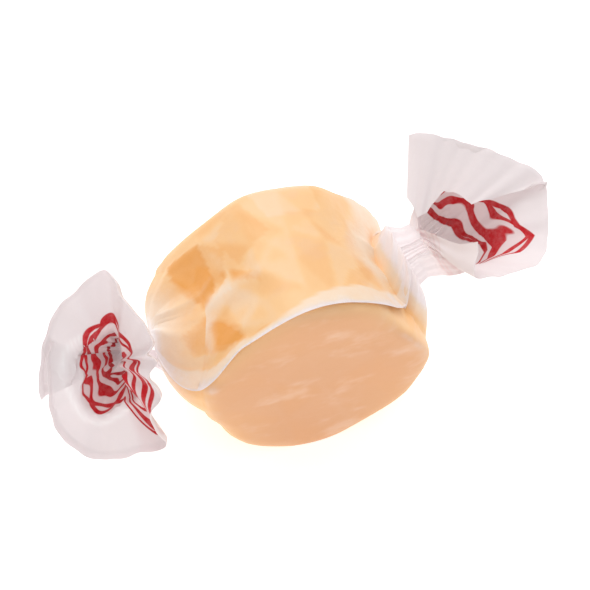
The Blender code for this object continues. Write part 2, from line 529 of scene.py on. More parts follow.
@dataclass(frozen=True)
class Wrapper:
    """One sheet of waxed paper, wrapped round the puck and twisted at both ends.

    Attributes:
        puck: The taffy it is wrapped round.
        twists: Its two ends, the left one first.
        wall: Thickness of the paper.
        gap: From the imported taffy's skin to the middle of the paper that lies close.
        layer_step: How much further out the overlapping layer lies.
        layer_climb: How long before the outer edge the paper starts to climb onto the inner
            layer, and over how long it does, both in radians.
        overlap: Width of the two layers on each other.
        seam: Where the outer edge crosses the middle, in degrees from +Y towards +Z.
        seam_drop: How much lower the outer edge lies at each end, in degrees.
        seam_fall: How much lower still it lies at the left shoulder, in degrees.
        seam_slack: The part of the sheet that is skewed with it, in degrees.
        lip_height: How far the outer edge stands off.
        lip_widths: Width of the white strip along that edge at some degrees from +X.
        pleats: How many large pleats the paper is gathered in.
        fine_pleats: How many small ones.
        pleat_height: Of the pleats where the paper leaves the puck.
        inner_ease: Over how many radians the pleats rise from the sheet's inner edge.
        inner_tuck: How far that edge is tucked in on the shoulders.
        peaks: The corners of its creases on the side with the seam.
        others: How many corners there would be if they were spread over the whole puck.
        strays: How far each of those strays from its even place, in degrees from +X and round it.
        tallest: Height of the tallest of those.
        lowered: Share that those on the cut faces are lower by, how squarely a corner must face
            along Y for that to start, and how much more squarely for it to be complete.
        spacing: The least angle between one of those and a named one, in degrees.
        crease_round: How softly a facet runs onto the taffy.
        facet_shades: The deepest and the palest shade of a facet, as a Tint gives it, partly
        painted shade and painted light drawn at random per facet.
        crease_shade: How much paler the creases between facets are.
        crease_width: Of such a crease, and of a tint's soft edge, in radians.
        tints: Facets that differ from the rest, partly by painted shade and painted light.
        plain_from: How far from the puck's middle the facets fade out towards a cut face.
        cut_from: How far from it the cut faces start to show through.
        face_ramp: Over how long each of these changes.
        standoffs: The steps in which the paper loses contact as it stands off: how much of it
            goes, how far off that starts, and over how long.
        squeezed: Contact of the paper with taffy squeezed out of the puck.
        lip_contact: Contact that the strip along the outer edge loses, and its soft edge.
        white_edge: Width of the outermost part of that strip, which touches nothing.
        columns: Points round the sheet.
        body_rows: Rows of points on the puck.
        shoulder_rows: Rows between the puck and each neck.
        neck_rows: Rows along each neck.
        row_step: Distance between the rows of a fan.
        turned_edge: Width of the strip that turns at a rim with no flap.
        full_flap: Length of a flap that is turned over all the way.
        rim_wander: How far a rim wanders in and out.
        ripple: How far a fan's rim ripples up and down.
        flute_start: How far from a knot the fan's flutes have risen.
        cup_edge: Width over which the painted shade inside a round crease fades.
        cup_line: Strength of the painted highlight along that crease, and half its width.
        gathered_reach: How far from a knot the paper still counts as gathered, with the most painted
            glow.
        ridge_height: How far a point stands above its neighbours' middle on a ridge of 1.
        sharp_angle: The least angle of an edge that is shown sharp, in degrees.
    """

    puck: Puck
    twists: tuple[Twist, Twist] = (LEFT_TWIST, RIGHT_TWIST)
    wall: float = 0.06 * MM
    gap: float = 0.78 * MM
    layer_step: float = 0.12 * MM
    layer_climb: tuple[float, float] = (1.9, 1.3)
    overlap: float = 8.0 * MM
    seam: float = 127
    seam_drop: float = 28
    seam_fall: float = 16
    seam_slack: float = 100
    lip_height: float = 0.75 * MM
    lip_widths: tuple[tuple[float, float], ...] = sized(
        (20, 3.4), (47, 3.0), (65, 2.8), (85, 2.0), (105, 0.9), (120, 0.6), (135, 1.6), (150, 3.2),
    )
    pleats: int = 13
    fine_pleats: int = 29
    pleat_height: float = 0.45 * MM
    inner_ease: float = 1.2
    inner_tuck: float = 0.45 * MM
    peaks: tuple[Peak, ...] = tuple(Peak(*row) for row in sized(
        (54, 130, 0.40), (34, 149, 0.60), (99, 141, 0.75), (110, 150, 0.60), (66, 147, 0.0),
        (58, 139, 0.0), (84, 146, 0.0), (88, 127, 0.30), (98, 112, 0.55), (80, 111, 0.10),
        (95, 131, 0.55), (127, 127, 0.40), (112, 134, 0.0), (128, 108, 0.25), (113, 116, 0.0),
        (82, 101, 0.0), (90, 119, 0.0), (57, 110, 0.08), (53, 87, 0.12), (98, 92, 0.05),
        (117, 93, 0.15), (87, 72, 0.25), (125, 80, 0.0), (62, 52, 0.35), (92, 59, 0.40),
        (97, 43, 0.55), (45, 63, 0.10), (27, 47, 1.30), (58, 36, 0.70), (4, 37, 1.60),
        (118, 58, 0.10), (130, 45, 0.45), (72, 76, 0.0), (78, 90, 0.05), (40, 120, 0.15),
        (22, 133, 0.45), (150, 100, 0.0), (168, 120, 0.0), (168, 60, 0.0), (152, 126, 0.15),
        (185, 92, 0.0), (158, 48, 0.35), (176, 40, 0.30), (196, 48, 0.0), (180, 140, 0.10),
        (162, 142, 0.45), (140, 140, 0.45), (205, 112, 0.0),
    ))
    others: int = 88
    strays: tuple[float, float] = (4, 6)
    tallest: float = 0.62 * MM
    lowered: tuple[float, float, float] = (0.8, 0.55, 0.3)
    spacing: float = 17
    crease_round: float = 0.10 * MM
    facet_shades: tuple[float, float] = (-0.50, 0.14)
    crease_shade: float = 0.60
    crease_width: float = 0.012
    tints: tuple[Tint, ...] = (
        Tint(((29, 148), (54, 131), (83, 138), (101, 143), (111, 157), (48, 152)), -1.0),
        Tint(((54, 131), (83, 138), (92, 133), (70, 124)), -0.35),
        Tint(((83, 127), (99, 141), (99, 129)), 0.80),
        Tint(((110, 147), (131, 125), (138, 137), (140, 152), (120, 158)), -0.70),
        Tint(((113, 145), (126, 126), (133, 125), (133, 139)), -0.50),
        Tint(((80, 134), (95, 128), (102, 113), (85, 125)), -0.45),
        Tint(((85, 58), (28, 41), (10, 36), (52, 30), (90, 42)), -0.30),
        Tint(((22, 44), (6, 36), (0, 39), (14, 46)), -1.0),
        Tint(((112, 149), (132, 140), (152, 148), (140, 165)), 0.20),
        Tint(((120, 74), (122, 57), (103, 40), (111, 65)), -0.40),
        Tint(((87, 126), (98, 112), (104, 113), (94, 126)), -0.35),
        Tint(((86, 121), (62, 125), (54, 106), (76, 99)), -0.35),
        Tint(((68, 97), (46, 101), (38, 74), (64, 68)), 0.35),
    )
    plain_from: float = 7.5 * MM
    cut_from: float = 8.6 * MM
    face_ramp: float = 1.3 * MM
    standoffs: tuple[tuple[float, float, float], ...] = (
        (0.62, 0.10 * MM, 0.60 * MM), (0.38, 1.0 * MM, 1.4 * MM),
    )
    squeezed: float = 0.85
    lip_contact: tuple[float, float] = (0.60, 0.4 * MM)
    white_edge: float = 0.45 * MM
    columns: int = 208
    body_rows: int = 78
    shoulder_rows: int = 22
    neck_rows: int = 8
    row_step: float = 0.38 * MM
    turned_edge: float = 0.9 * MM
    full_flap: float = 2.4 * MM
    rim_wander: float = 0.12 * MM
    ripple: float = 0.22 * MM
    flute_start: float = 1.2 * MM
    cup_edge: float = 0.8 * MM
    cup_line: tuple[float, float] = (1.3, 0.30 * MM)
    gathered_reach: float = 3.5 * MM
    ridge_height: float = 0.1 * MM
    sharp_angle: float = 62

    def angles(self) -> Rows:
        """The angle round the X axis of each column, the columns equally wide on the paper."""
        seam = math.radians(self.seam)
        fine = np.linspace(0.0, seam + math.tau, 1440)
        ways = ways_round(math.pi / 2, fine)
        skin = ways * self.puck.reach(ways, self.gap)[:, None]
        along = np.concatenate(([0.0], np.cumsum(lengths(np.diff(skin, axis=0))[:, 0])))
        first = np.interp(seam, fine, along) - self.overlap
        return np.interp(np.linspace(first, along[-1], self.columns), along, fine)

    def width_round(self) -> float:
        """Width of the sheet, from its inner edge to its outer one."""
        ways = ways_round(math.pi / 2, self.angles())
        skin = ways * self.puck.reach(ways, self.gap)[:, None]
        return float(lengths(np.diff(skin, axis=0)).sum())

    def inwards(self) -> Rows:
        """How far each column lies from the sheet's outer edge."""
        return np.linspace(self.width_round(), 0.0, self.columns)

    def layers(self, around: Rows) -> Rows:
        """How far out the paper lies where it lies close, over the taffy and its inner layer."""
        before, climb = self.layer_climb
        lap = smooth_step((around - math.radians(self.seam) - math.tau + before) / climb)
        return self.gap + self.layer_step * lap

    def pleat_wave(self, around: Rows, count: int) -> Rows:
        """A wave of uneven pleats round the sheet, from -1 to 1.

        Args:
            around: The sheet's angles.
            count: How many pleats.

        Returns:
            The wave at each of them.
        """
        uneven = around + 0.20 * np.sin(2 * around + 1.0) + 0.11 * np.sin(5 * around)
        return fold_wave(count * uneven + 0.5 * np.sin(3 * around + 2.0))

    def body_pleats(self, around: Rows, polar: Rows) -> Rows:
        """How far the pleats that run in from the shoulders stand out of the paper on the puck.

        Args:
            around: The sheet's angles.
            polar: Angle of each row from +X, in radians.

        Returns:
            The height at each point.
        """
        starts = 0.68 + 0.14 * Drift(3, 0.9)(around)
        strength = 0.55 + 0.45 * Drift(7, 0.7)(around + np.sign(polar - math.pi / 2))
        left, right = (math.pi / 2 - math.radians(twist.shoulder) for twist in self.twists)
        ends = np.where(polar > math.pi / 2, left, right)
        near = smooth_step((np.abs(polar - math.pi / 2) - starts) / (ends - starts))
        wave = 0.5 + 0.5 * self.pleat_wave(around, self.pleats)
        return self.pleat_height * near * strength * self.past_inner(around) * wave**1.4

    def past_inner(self, around: Rows) -> Rows:
        """How far each column is past the sheet's inner edge: 0 on it, and 1 well past it."""
        return smooth_step((around - around[0]) / self.inner_ease)

    def lip_width(self, polar: Rows) -> Rows:
        """Width of the white strip along the outer edge, at an angle from +X in radians."""
        places, widths = np.array(self.lip_widths).T
        return np.interp(np.degrees(polar), places, widths)

    def lip(self, polar: Rows) -> Rows:
        """How far the strip along the outer edge stands off the paper below it.

        Args:
            polar: Angle of each row from +X, in radians.

        Returns:
            The height at each point.
        """
        uneven = 0.75 + 0.30 * Drift(5, 0.9)(polar)
        share = np.clip(1 - self.inwards() / (1.3 * self.lip_width(polar)), 0.0, 1.0)
        return self.lip_height * uneven * share**1.4

    def corners(self) -> list[Peak]:
        """Every corner of the creases: the named ones, and one wherever there is room."""
        random = np.random.default_rng(17)
        corners = list(self.peaks)
        golden = math.pi * (3 - math.sqrt(5))
        share, start, ramp = self.lowered
        for k in range(self.others):
            polar = math.degrees(math.acos(1 - (2 * k + 1) / self.others))
            polar += random.uniform(-self.strays[0], self.strays[0])
            around = math.degrees(golden * k) % 360 + random.uniform(-self.strays[1], self.strays[1])
            height = self.tallest * max(0.0, random.uniform(-0.5, 1.0))
            way = Peak(around, polar, height).way()
            flat = smooth_step((abs(way[1]) - start) / ramp)
            nearest = max(float(way @ named.way()) for named in corners)
            if nearest < math.cos(math.radians(self.spacing)):
                corners.append(Peak(around, polar, height * (1 - share * float(flat))))
        return corners

    def facets(self, ways: Rows) -> tuple[Rows, Rows, Rows, Rows]:
        """The facets of paper between the corners.

        Args:
            ways: Unit vectors from the puck's middle.

        Returns:
            The number of the facet that each of them meets, how clear it is of that facet's
            edge, every facet's normal, and every facet's distance along it.
        """
        corners = self.corners()
        directions = np.array([corner.way() for corner in corners])
        raised = self.gap + np.array([corner.height for corner in corners])
        tops = directions * self.puck.reach(directions, raised)[:, None]
        hull = bmesh.new()
        verts = [hull.verts.new(way) for way in directions]
        numbers = {vert: number for number, vert in enumerate(verts)}
        bmesh.ops.convex_hull(hull, input=verts)
        trios = np.array([[numbers[vert] for vert in face.verts] for face in hull.faces])
        hull.free()
        trios = trios[np.lexsort(np.sort(trios, axis=1).T)]
        facing, planes = (
            np.cross(p[trios[:, 1]] - p[trios[:, 0]], p[trios[:, 2]] - p[trios[:, 0]])
            for p in (directions, tops)
        )
        deep = (facing * directions[trios[:, 0]]).sum(axis=1)
        nearness = ways @ (facing / deep[:, None]).T
        best = np.partition(nearness, -2, axis=-1)[..., -2:]
        clear = best[..., 1] - best[..., 0]
        return nearness.argmax(axis=-1), clear, planes, (planes * tops[trios[:, 0]]).sum(axis=1)

    def loose(self, ways: Rows) -> Rows:
        """How far the facets between the corners raise the paper on the puck.

        Args:
            ways: Unit vectors from the puck's middle.

        Returns:
            The height at each of them.
        """
        met, _, planes, distances = self.facets(ways)
        flat = distances[met] / (planes[met] * ways).sum(axis=-1) - self.puck.reach(ways, self.gap)
        height = 0.5 * (flat + np.sqrt(flat**2 + self.crease_round**2)) - self.crease_round / 4
        return softened_both_ways(np.maximum(height, 0.0))

    def towards_face(self, grid: Rows, start: float) -> Rows:
        """How far each point is past that distance from the middle to a cut face, 0 to 1."""
        return smooth_step((np.abs(grid[..., 1]) - start) / self.face_ramp)

    def shade(self, grid: Rows) -> Rows:
        """How pale or deep each point of the sheet is, by the facets that differ from the rest.

        In part this is painted shade and painted light that set the facets apart.

        Args:
            grid: The points.

        Returns:
            The shade at each of them, as a Tint gives it.
        """
        ways = unit(grid)
        met, clear, planes, _ = self.facets(ways)
        random = np.random.default_rng(29)
        # painted shade and light, partly uneven contact: each facet gets a random shade
        shade = random.uniform(*self.facet_shades, len(planes))[met]
        creased = np.maximum(random.uniform(-0.5, 1.0, len(planes)), 0.0)[met]
        shade += self.crease_shade * creased * smooth_step(1 - clear / self.crease_width)
        shade = shade * (1 - 0.8 * self.towards_face(grid, self.plain_from))
        shade = softened_both_ways(shade)
        # painted shade and light, partly contact: the listed tints darken and lighten single facets
        for tint in self.tints:
            ring = [ways_round(np.radians(polar), np.radians(around)) for around, polar in tint.corners]
            middle = unit(np.sum(ring, axis=0))
            inside = np.full(shade.shape, 1.0)
            for one, other in zip(ring, ring[1:] + ring[:1]):
                across = unit(np.cross(one, other))
                inside = np.minimum(inside, ways @ (across * np.sign(across @ middle)))
            near = smooth_step(inside / self.crease_width + 0.5) * (ways @ middle > 0)
            shade += tint.shade * near
        return shade

    def body(self, around: Rows) -> tuple[Rows, Rows]:
        """The rows that lie on the puck, from the left shoulder to the right one.

        Args:
            around: The sheet's angles.

        Returns:
            The points, and how far each of them is raised off where it would lie close.
        """
        left, right = (math.radians(twist.shoulder) for twist in self.twists)
        polar = np.linspace(math.pi - left, right, self.body_rows)[:, None]
        slack = smooth_step(1 - (around[-1] - around) / math.radians(self.seam_slack))
        fall = smooth_step((polar - math.radians(125)) / math.radians(25))
        skew = np.radians(self.seam_drop * np.cos(polar) ** 2 + self.seam_fall * fall) * slack
        ways = ways_round(polar, around + skew)
        raised = self.body_pleats(around, polar) + self.lip(polar) + self.loose(ways)
        return ways * self.puck.reach(ways, self.layers(around) + raised)[..., None], raised

    def gathered(self, twist: Twist, around: Rows) -> Rows:
        """The ring of paper gathered round a neck, not yet turned, wound as it is on the puck."""
        neck = np.array(twist.start)
        axis = unit(neck)
        first = unit(np.array((0.0, 1.0, 0.0)) - axis * axis[1])
        second = twist.side.value * np.cross(axis, first)
        outward = np.cos(around)[:, None] * first + np.sin(around)[:, None] * second
        return neck + outward * twist.radius

    def shoulder_part(self, twist: Twist, around: Rows, edge: Rows, before: Rows, raised: Rows) -> Rows:
        """Rows from where the paper leaves the puck in to a neck, gathered and starting to turn.

        Args:
            twist: The end they lead to.
            around: The sheet's angles.
            edge: The last row on the puck.
            before: The row before it.
            raised: How far pleats and facets raise the last row.

        Returns:
            The rows, from the puck outwards.
        """
        neck, sign = np.array(twist.start), twist.side.value
        axis = unit(neck)
        ring = self.gathered(twist, around)
        smooth = edge - unit(edge) * raised[:, None]
        full = twist.fullness
        leaving = unit(unit(smooth - before) + (0.35 + 0.45 * full) * axis)
        span = lengths(ring - smooth)
        away = unit(smooth - (smooth @ axis)[:, None] * axis)
        first = smooth + leaving * span * (0.30 + 0.12 * full)
        second = ring + away * span * (0.25 + 0.30 * full) + axis * span * 0.16 * full
        large, small = (self.pleat_wave(around, count) for count in (self.pleats, self.fine_pleats))
        uneven = 0.75 + 0.35 * Drift(twist.seed, 0.8)(around)
        tucked = self.inner_tuck * (1 - self.past_inner(around))
        rows = []
        for t in np.linspace(0.0, 1.0, self.shoulder_rows + 1)[1:]:
            row = smooth * (1 - t) ** 3 + first * 3 * t * (1 - t) ** 2
            row = row + second * 3 * t * t * (1 - t) + ring * t**3
            outward = row - neck
            outward = unit(outward - (outward @ axis)[:, None] * axis)
            gathering = float(smooth_step(np.float64(t / 0.7)))
            wave = large * (1 - 0.45 * t) + 0.55 * t * small
            height = (1 - gathering) * raised + gathering * (twist.depth * uneven * wave - tucked)
            row = row + outward * height[:, None]
            turn = math.radians(twist.turn) * 0.5 * t**2.6
            rows.append(turned(row, neck, axis, sign * turn))
        return np.array(rows)

    def neck_part(self, twist: Twist, ring: Rows) -> Rows:
        """Rows along a neck, each turned further than the last.

        Args:
            twist: The end that the neck is of.
            ring: The row where the neck starts.

        Returns:
            The rows, from the puck outwards.
        """
        start, end = np.array(twist.start), np.array(twist.end)
        axis = unit(end - start)
        rows = []
        for k in range(1, self.neck_rows + 1):
            share = k / self.neck_rows
            turn = twist.side.value * math.radians(twist.turn) * 0.5 * share
            pinch = float(np.interp(share, (0.0, 0.5, 1.0), (1.0, *twist.squeeze)))
            rows.append(turned(start + (ring - start) * pinch, start, axis, turn) + (end - start) * share)
        return np.array(rows)

    def fold_ways(self, twist: Twist, columns: int) -> tuple[Rows, Rows]:
        """The way each column of a fan runs out from the neck.

        Args:
            twist: The end that the fan is of.
            columns: How many columns.

        Returns:
            Unit vectors spaced evenly along a smooth line through the folds, and the column
            that each fold is at.
        """
        azimuth, height = np.radians([(fold.azimuth, fold.height) for fold in twist.folds]).T
        level = np.cos(height)
        knots = np.stack((level * np.cos(azimuth), level * np.sin(azimuth), np.sin(height)), -1)
        padded = np.vstack((2 * knots[0] - knots[1], knots, 2 * knots[-1] - knots[-2]))
        steps = 40  # from one fold to the next
        place = np.linspace(0.0, len(knots) - 1.0, steps * (len(knots) - 1) + 1)
        base = np.minimum(place.astype(int), len(knots) - 2)
        t = (place - base)[:, None]
        p, q, r, s = (padded[base + k] for k in range(4))
        line = 2 * q + (r - p) * t + (2 * p - 5 * q + 4 * r - s) * t**2
        line = unit(line + (3 * q - p - 3 * r + s) * t**3)
        along = np.concatenate(([0.0], np.cumsum(lengths(np.diff(line, axis=0))[:, 0])))
        even = np.linspace(0.0, along[-1], columns)
        ways = np.stack([np.interp(even, along, line[:, k]) for k in range(3)], axis=-1)
        return unit(ways), along[::steps] / along[-1] * (columns - 1)

    def fan_part(self, twist: Twist, ring: Rows, around: Rows) -> tuple[Rows, Rows]:
        """Rows of a fan: straight lines out of the knot, fluted near it and turned at its rim.

        Args:
            twist: The end that the fan is of.
            ring: The row where the neck ends.
            around: The sheet's angles.

        Returns:
            The rows, from the neck outwards, and how far out each of their points is.
        """
        end, columns = np.array(twist.end), np.arange(len(ring))
        ways, spots = self.fold_ways(twist, len(ring))
        reach = np.interp(columns, spots, [fold.reach for fold in twist.folds])
        flap = np.interp(columns, spots, [fold.flap for fold in twist.folds])
        even = np.linspace(0.0, 1.0, len(ring))
        past = np.maximum(flap, self.turned_edge)
        place = reach + flap - past
        folded = smooth_step(flap / self.full_flap)
        bend = twist.rim_turn + (twist.bend - twist.rim_turn) * folded
        bend = np.radians(bend + 3 * folded * Drift(twist.seed + 4, 1.5)(even))
        rim = softened(np.gradient(ways * place[:, None], axis=0), 60)
        rim = unit(rim - ways * (rim * ways).sum(axis=1, keepdims=True))
        rim = rim * np.sign((np.cross(rim, ways) @ unit(ways.sum(axis=0))).sum())
        bent = ways * np.cos(bend)[:, None] + np.cross(rim, ways) * np.sin(bend)[:, None]
        past = past + self.rim_wander * Drift(twist.seed + 1, 3.0)(even)
        axis = unit(ways.sum(axis=0))
        drawn = unit(axis - ways * (ways @ axis)[:, None])
        uneven = (0.6 + 0.6 * Drift(twist.seed + 5, 1.6)(even))[:, None]
        crease = self.crease(twist, len(ring))[:, None]
        inner, outer = (int(np.max(length) / self.row_step) for length in (place, past))
        rows, far = [], []
        for share in np.linspace(0.0, 1.0, inner + 1)[1:]:
            out = (share * place)[:, None]
            knot = 1 - smooth_step(out / (twist.opening * place[:, None]))
            bell = twist.bell * np.minimum(share / crease, (1 - share) / (1 - crease))
            pinch = twist.bell * 0.25 * np.exp(-(((share - crease) / 0.04) ** 2))
            rows.append(end + (ring - end) * knot + ways * out + drawn * (bell + pinch * uneven))
            far.append(share * place)
        for share in np.linspace(0.0, 1.0, outer + 1)[1:]:
            rows.append(end + ways * place[:, None] + bent * (share * past)[:, None])
            far.append(place + share * past)
        rows, far = np.array(rows), np.array(far)
        return rows + self.fluting(twist, rows, far, around), far

    def crease(self, twist: Twist, columns: int) -> Rows:
        """Where a fan's round crease crosses each column, as a share of the fan's reach."""
        places, shares = np.array(twist.bell_places).T
        return softened(np.interp(np.linspace(0.0, 1.0, columns), places, shares), 20)

    def fluting(self, twist: Twist, rows: Rows, far: Rows, around: Rows) -> Rows:
        """How the pleats of the neck run out into a fan and its paper ripples.

        Args:
            twist: The end that the fan is of.
            rows: The fan's plain rows.
            far: How far out each point is.
            around: The sheet's angles.

        Returns:
            The shift of each point.
        """
        along, across = np.gradient(rows, axis=(0, 1))
        normal = unit(np.cross(across, along))
        out = far / twist.folds[0].reach
        even = np.linspace(0.0, 1.0, len(around))
        large, small = (self.pleat_wave(around, count) for count in (self.pleats, self.fine_pleats))
        uneven = 0.65 + 0.45 * Drift(twist.seed + 2, 2.0)(even)
        fading = smooth_step(far / self.flute_start) * smooth_step(1 - out / twist.flute_end)
        height = twist.flutes * fading * (0.75 * large + 0.45 * small) * uneven
        height += self.ripple * np.minimum(out, 1.0) * Drift(twist.seed + 3, 2.6)(even)
        return normal * height[..., None]

    def end_part(self, twist: Twist, around: Rows, body: Rows, raised: Rows) -> tuple[Rows, Rows]:
        """Every row from one shoulder out to the rim of its fan.

        Args:
            twist: The end.
            around: The sheet's angles.
            body: The rows on the puck.
            raised: How far each of their points is raised.

        Returns:
            The rows, and for each of their points its place in the print, across and out, how
            far it is past the puck, its painted shade inside the fan's round crease (below 0 on
            the painted highlight along it), and how closely the paper is gathered, which sets
            its painted glow.
        """
        last, before = (0, 1) if twist.side is Side.LEFT else (-1, -2)
        plain = body[before] - unit(body[before]) * raised[before][:, None]
        shoulder = self.shoulder_part(twist, around, body[last], plain, raised[last])
        neck = self.neck_part(twist, shoulder[-1])
        fan, far = self.fan_part(twist, neck[-1], around)
        rows = np.concatenate((shoulder, neck, fan))
        ways, _ = self.fold_ways(twist, len(around))
        places, middles = np.array(twist.print_middle).T
        spread = lengths(np.diff(ways, axis=0)).sum() * twist.print_reach / twist.print_size
        centre = np.interp(np.linspace(0.0, 1.0, len(around)), places, middles)
        out = (far - centre) / (twist.print_size * (0.55 + 0.45 * centre / twist.print_reach))
        nearer = np.full((len(shoulder) + len(neck), len(around)), BARE)
        out = np.concatenate((nearer, out))
        across = twist.print_start + np.linspace(0.0, spread, len(around))
        across = np.broadcast_to(across, out.shape)
        past = np.arange(1, len(rows) + 1) / (self.shoulder_rows * twist.filled)
        past = np.broadcast_to(past[:, None], out.shape)
        # painted shade inside a fan's round crease, and a painted highlight along it
        cup_shade_and_highlight = np.zeros(out.shape)
        crease = self.crease(twist, len(around)) * twist.folds[0].reach
        bright, width = self.cup_line
        if twist.bell:
            cup_shade_and_highlight[-len(far):] = smooth_step(0.5 - (far - crease) / self.cup_edge)
            cup_shade_and_highlight[-len(far):] -= bright * np.exp(-(((far - crease) / width) ** 2))
        # how strongly the paper is painted to glow: most in the neck, fading out into the fan
        gathered = np.concatenate((np.ones(nearer.shape), smooth_step(1 - far / self.gathered_reach)))
        gathered *= smooth_step(past * twist.filled)
        return rows, np.stack((across, out, past, cup_shade_and_highlight, gathered), axis=-1)

    def sheet(self) -> tuple[Rows, Rows]:
        """The whole sheet, from the rim of the left fan to the rim of the right one.

        Returns:
            The grid of points, from the puck's middle, and for each of them what end_part
            gives; the print is far from those on the puck.
        """
        around = self.angles()
        body, raised = self.body(around)
        left, left_place = self.end_part(self.twists[0], around, body, raised)
        right, right_place = self.end_part(self.twists[1], around, body, raised)
        grid = np.concatenate((left[::-1], body, right))
        bare = np.broadcast_to((BARE, BARE, 0.0, 0.0, 0.0), (*body.shape[:2], 5))
        return grid, np.concatenate((left_place[::-1], bare, right_place))

    def contact(self, grid: Rows, past: Rows) -> Rows:
        """How closely the paper lies on the taffy.

        Args:
            grid: The sheet's points.
            past: How far each is past the puck, 1 where the squeezed-out taffy ends.

        Returns:
            1 where they stick, 0 where the paper stands off.
        """
        ways = unit(grid)
        off = lengths(grid)[..., 0] - self.puck.reach(ways, self.gap + self.layer_step)
        near = 1.0
        for lost, start, ramp in self.standoffs:
            near = near - lost * smooth_step((off - start) / ramp)
        near = np.maximum(near, np.where(past > 0, self.squeezed * (1 - smooth_step(past)), 0.0))
        lost, ramp = self.lip_contact
        strip = self.lip_width(np.arccos(ways[..., 0])) - self.inwards()
        near = near * (1 - lost * smooth_step(strip / ramp + 0.5))
        return near * smooth_step(self.inwards() / self.white_edge)

    def ridges(self, grid: Rows, normal: Rows) -> Rows:
        """How sharply the paper is creased at each point, more than 0 on a ridge."""
        middle = np.zeros_like(grid)
        middle[1:-1, 1:-1] = (
            grid[2:, 1:-1] + grid[:-2, 1:-1] + grid[1:-1, 2:] + grid[1:-1, :-2]
        ) / 4 - grid[1:-1, 1:-1]
        return -(middle * normal).sum(axis=-1) / self.ridge_height

    def build(self) -> bpy.types.Object:
        """Makes the paper as one thin closed shell, with its looks' guides on each point.

        Returns:
            The wrapper.
        """
        grid, place = self.sheet()
        along, across = np.gradient(grid, axis=(0, 1))
        normal = unit(np.cross(across, along))
        shells = [grid + normal * side * self.wall / 2 for side in (1, -1)]
        count = grid.shape[0] * grid.shape[1]
        corner = np.arange(count).reshape(grid.shape[:2])
        outside = np.stack((corner[:-1, :-1], corner[:-1, 1:], corner[1:, 1:], corner[1:, :-1]), -1)
        outside = outside.reshape(-1, 4)
        rim = np.concatenate((corner[0, :-1], corner[:-1, -1], corner[-1, :0:-1], corner[:0:-1, 0]))
        ahead = np.roll(rim, -1)
        edge = np.stack((ahead, rim, rim + count, ahead + count), axis=-1)
        faces = np.concatenate((outside, outside[:, ::-1] + count, edge))
        points = np.concatenate([shell.reshape(-1, 3) for shell in shells]) + self.puck.middle()
        mesh = bpy.data.meshes.new("waxed_paper_wrapper")
        mesh.from_pydata(points.tolist(), [], faces.tolist())
        ridges = self.ridges(grid, normal)
        guides = {
            "contact": (self.contact(grid, place[..., 2]),) * 2,
            "shade": (self.shade(grid),) * 2,
            # painted shade inside a fan's round crease, below 0 on the painted highlight along it
            "cup_shade_and_highlight": (place[..., 3],) * 2,
            # drives the painted glow, on the outer side only
            "gathered": (place[..., 4], 0 * place[..., 4]),
            "ridge": (ridges, -ridges),
            "cut_face": (self.towards_face(grid, self.cut_from),) * 2,
            "print_across": (place[..., 0],) * 2,
            "print_out": (place[..., 1],) * 2,
            "inside": (np.zeros(grid.shape[:2]), np.ones(grid.shape[:2])),
        }
        for name, values in guides.items():
            guide = mesh.attributes.new(name, "FLOAT", "POINT")
            guide.data.foreach_set("value", np.array(values, np.float32).reshape(-1))
        mesh.shade_smooth()
        mesh.set_sharp_from_angle(angle=math.radians(self.sharp_angle))
        return added("waxed_paper_wrapper", mesh)


# ---------------------------------------------------------------- shader maths


Colour = tuple[float, float, float, float]
BLACK: Colour = (0.0, 0.0, 0.0, 1.0)
WHITE: Colour = (1.0, 1.0, 1.0, 1.0)


class Signal:
    """The output of a shader node. Sums written with it add Math nodes."""

    def __init__(self, bench: "Bench", socket: bpy.types.NodeSocket) -> None:
        """Wraps a socket of a node on the bench."""
        self.bench = bench
        self.socket = socket

    def maths(self, operation: str, *terms: "Signal | float") -> "Signal":
        """Adds one Math node.

        Args:
            operation: What it does.
            terms: Its terms, in order.

        Returns:
            The node's result.
        """
        sockets = dict(zip(("Value", "Value_001", "Value_002"), terms))
        return self.bench.add("ShaderNodeMath", {"operation": operation}, sockets)

    def __add__(self, other: "Signal | float") -> "Signal":
        """This plus the other."""
        return self.maths("ADD", self, other)

    def __radd__(self, other: float) -> "Signal":
        """A number plus this."""
        return self.maths("ADD", other, self)

    def __sub__(self, other: "Signal | float") -> "Signal":
        """This less the other."""
        return self.maths("SUBTRACT", self, other)

    def __rsub__(self, other: float) -> "Signal":
        """A number less this."""
        return self.maths("SUBTRACT", other, self)

    def __mul__(self, other: "Signal | float") -> "Signal":
        """This times the other."""
        return self.maths("MULTIPLY", self, other)

    def __rmul__(self, other: float) -> "Signal":
        """A number times this."""
        return self.maths("MULTIPLY", other, self)

    def __neg__(self) -> "Signal":
        """This with its sign turned."""
        return 0.0 - self

    def __abs__(self) -> "Signal":
        """This without its sign."""
        return self.maths("ABSOLUTE", self)

    def sine(self) -> "Signal":
        """The sine of this, in radians."""
        return self.maths("SINE", self)

    def larger(self, other: "Signal | float") -> "Signal":
        """The larger of this and the other."""
        return self.maths("MAXIMUM", self, other)

    def climb(self, start: float, end: float) -> "Signal":
        """An even climb from 0 to 1 as this goes from start to end.

        Args:
            start: Where it is still 0.
            end: Where it has reached 1; less than start for a fall.

        Returns:
            The climb.
        """
        settings = {"interpolation_type": "SMOOTHSTEP"}
        if end < start:
            sockets = {"Value": self, "From Min": end, "From Max": start, "To Min": 1.0, "To Max": 0.0}
        else:
            sockets = {"Value": self, "From Min": start, "From Max": end}
        return self.bench.add("ShaderNodeMapRange", settings, sockets)


